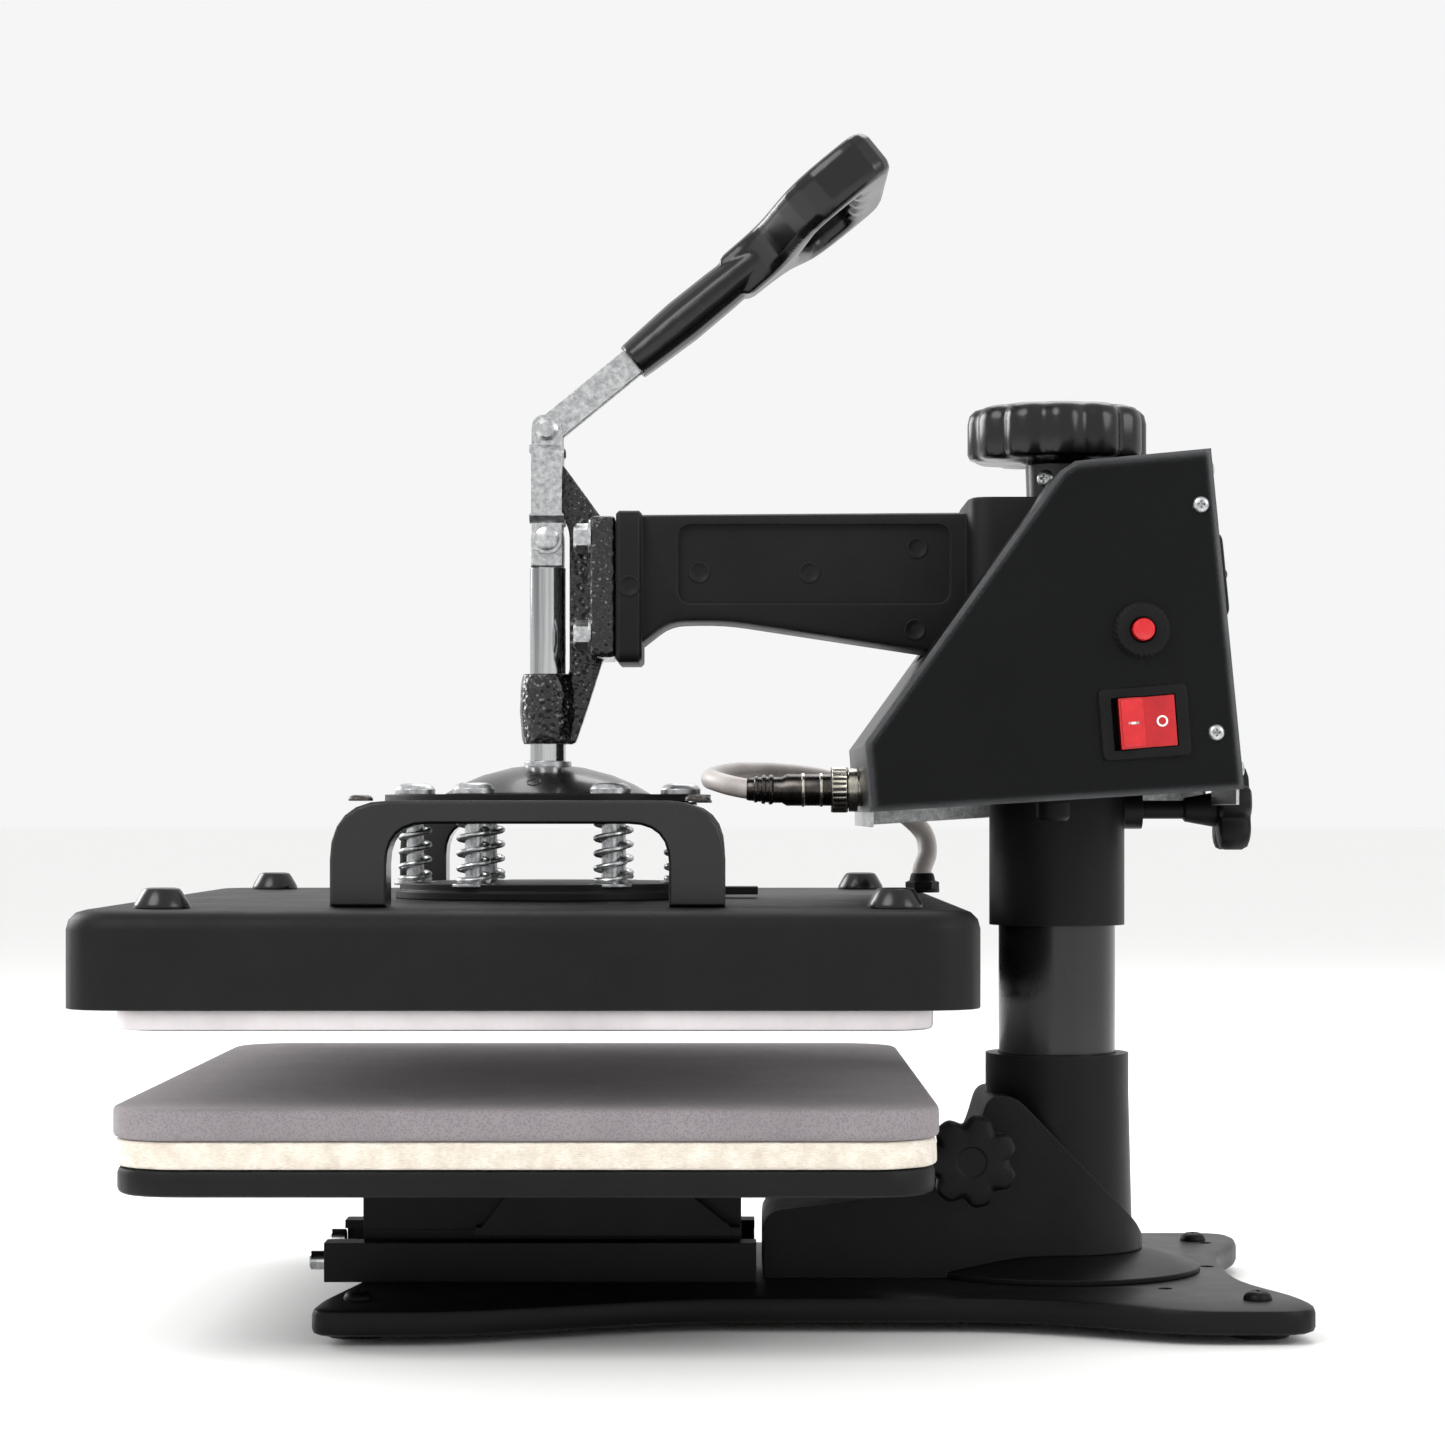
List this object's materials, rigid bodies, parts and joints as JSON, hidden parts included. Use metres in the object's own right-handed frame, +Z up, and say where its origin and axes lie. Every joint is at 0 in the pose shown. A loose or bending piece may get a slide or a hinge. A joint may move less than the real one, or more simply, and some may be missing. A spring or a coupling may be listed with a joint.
{
  "type": "swing-away heat press",
  "caption": "Swing-away heat press: a toggle lever drives a spring-mounted hot plate down on a padded table; the arm pivots on a post and carries the control box.",
  "frame": {"origin": "middle of the footprint, on the surface that the rubber feet stand on", "axes": "+Z up; -X towards the operator and the padded table, +X towards the post and the display; +Y to the far side"},
  "size_m": [0.4666, 0.413, 0.4776],
  "materials": {
    "black_powder_coat": "fine textured powder coat",
    "black_hammer_coat": "glossy hammered enamel",
    "rubber": "matt",
    "cream_felt": "needled heat-resistant felt",
    "grey_silicone": "closed-cell silicone sponge",
    "bronze": "oiled sintered bronze",
    "zinc_steel": "zinc plated",
    "chrome_steel": "hard chrome",
    "nickel_connector": "satin nickel",
    "gunmetal": "dark nickel",
    "moulded_black": "moulded black plastic",
    "red_plastic": "translucent red",
    "cast_aluminium": "machined casting",
    "mineral_fibre": "ceramic fibre mat",
    "grey_sheath": "satin cable sheath"
  },
  "bodies": {
    "base": {"base_plate": "black_powder_coat", "rubber_foot_1": "rubber", "rubber_foot_2": "rubber", "rubber_foot_3": "rubber", "rubber_foot_4": "rubber", "post_socket": "black_powder_coat", "post_tube": "black_powder_coat", "post_brace": "black_powder_coat", "slide_rail": "black_powder_coat"},
    "post_lock": {"post_lock_knob": "moulded_black"},
    "table": {"carriage": "black_powder_coat", "lower_platen": "black_powder_coat", "felt_pad": "cream_felt", "silicone_pad": "grey_silicone"},
    "swing": {"post_bushing": "bronze"},
    "arm": {"arm_casting": "black_powder_coat", "hub_sleeve": "black_powder_coat", "guide_bracket": "black_hammer_coat", "guide_bushing": "bronze", "pivot_pin": "zinc_steel", "control_box_cover": "black_powder_coat", "control_box_chassis": "black_powder_coat", "display_unit": "moulded_black", "switch_body": "moulded_black", "breaker_body": "moulded_black", "panel_socket": "nickel_connector", "lead_plug": "gunmetal", "mains_gland": "moulded_black", "solid_state_relay": "moulded_black", "heater_lead": "grey_sheath"},
    "pressure": {"pressure_knob": "moulded_black", "pressure_screw": "zinc_steel"},
    "swing_lock": {"swing_lock_knob": "moulded_black"},
    "rocker": {"rocker_switch": "red_plastic"},
    "reset": {"reset_button": "red_plastic"},
    "key_1": {"display_key_1": "moulded_black"},
    "key_2": {"display_key_2": "moulded_black"},
    "key_3": {"display_key_3": "moulded_black"},
    "plunger": {"plunger_rod": "chrome_steel", "plunger_clevis": "zinc_steel", "dome_cap": "moulded_black", "top_plate": "black_powder_coat"},
    "link": {"link_strap_near": "zinc_steel", "link_strap_far": "zinc_steel", "link_pin": "zinc_steel"},
    "handle": {"handle_fork": "zinc_steel", "handle_grip": "moulded_black"},
    "platen": {"heat_housing": "black_powder_coat", "heating_plate": "cast_aluminium", "insulation": "mineral_fibre", "carry_handle_near": "black_powder_coat", "carry_handle_far": "black_powder_coat", "spring_plate": "black_powder_coat", "spring_1": "zinc_steel", "spring_2": "zinc_steel", "spring_3": "zinc_steel", "spring_4": "zinc_steel", "spring_5": "zinc_steel", "spring_6": "zinc_steel", "lead_gland": "moulded_black"}
  },
  "joints": [
    {"name": "table_slide", "type": "slide", "parent": "base", "child": "table", "axis": [-1, 0, 0], "range_m": [0, 0.07]},
    {"name": "post_lock_turn", "type": "hinge", "parent": "base", "child": "post_lock", "pos_m": [0.10465, -0.058, 0.064], "axis": [0, -1, 0], "range_deg": [-180, 180]},
    {"name": "arm_swing", "type": "hinge", "parent": "base", "child": "swing", "pos_m": [0.14425, 0, 0.204], "axis": [0, 0, 1], "range_deg": [-180, 180]},
    {"name": "arm_lift", "type": "slide", "parent": "swing", "child": "arm", "axis": [0, 0, 1], "range_m": [0, 0.00414]},
    {"name": "pressure_turn", "type": "hinge", "parent": "arm", "child": "pressure", "pos_m": [0.14425, 0, 0.359], "axis": [0, 0, 1], "range_deg": [0, 720]},
    {"name": "swing_lock_turn", "type": "hinge", "parent": "arm", "child": "swing_lock", "pos_m": [0.20425, 0, 0.204], "axis": [1, 0, 0], "range_deg": [-180, 180]},
    {"name": "handle_turn", "type": "hinge", "parent": "arm", "child": "handle", "pos_m": [-0.06675, 0, 0.3435], "axis": [0, -1, 0], "range_deg": [0, 165]},
    {"name": "plunger_slide", "type": "slide", "parent": "arm", "child": "plunger", "axis": [0, 0, -1], "range_m": [0, 0.0335]},
    {"name": "link_swing", "type": "hinge", "parent": "plunger", "child": "link", "pos_m": [-0.06675, 0, 0.3157], "axis": [0, -1, 0], "range_deg": [0, 5.7]},
    {"name": "platen_float", "type": "slide", "parent": "plunger", "child": "platen", "axis": [0, 0, 1], "range_m": [0, 0.0053], "deforming": ["spring_1", "spring_2", "spring_3", "spring_4", "spring_5", "spring_6"]},
    {"name": "rocker_tip", "type": "hinge", "parent": "arm", "child": "rocker", "pos_m": [0.17025, -0.0846, 0.238], "axis": [-0.0785, 0, 0.9969], "range_deg": [-16, 0]},
    {"name": "reset_press", "type": "slide", "parent": "arm", "child": "reset", "axis": [0, 1, 0], "range_m": [0, 0.0025], "stiffness_N_per_m": 300},
    {"name": "key_1_press", "type": "slide", "parent": "arm", "child": "key_1", "axis": [-0.9953, 0, -0.0973], "range_m": [0, 0.0009], "stiffness_N_per_m": 300},
    {"name": "key_2_press", "type": "slide", "parent": "arm", "child": "key_2", "axis": [-0.9953, 0, -0.0973], "range_m": [0, 0.0009], "stiffness_N_per_m": 300},
    {"name": "key_3_press", "type": "slide", "parent": "arm", "child": "key_3", "axis": [-0.9953, 0, -0.0973], "range_m": [0, 0.0009], "stiffness_N_per_m": 300}
  ],
  "couplings": [
    {"joint": "arm_lift", "follows": "pressure_turn", "m_per_rad": 0.00031831},
    {"joint": "plunger_slide", "follows": "handle_turn", "m_per_rad": 0.011598},
    {"joint": "link_swing", "follows": "handle_turn", "ratio": 0.034206},
    {"joint": "platen_float", "follows": "handle_turn", "m_per_rad": 0.0018057}
  ]
}
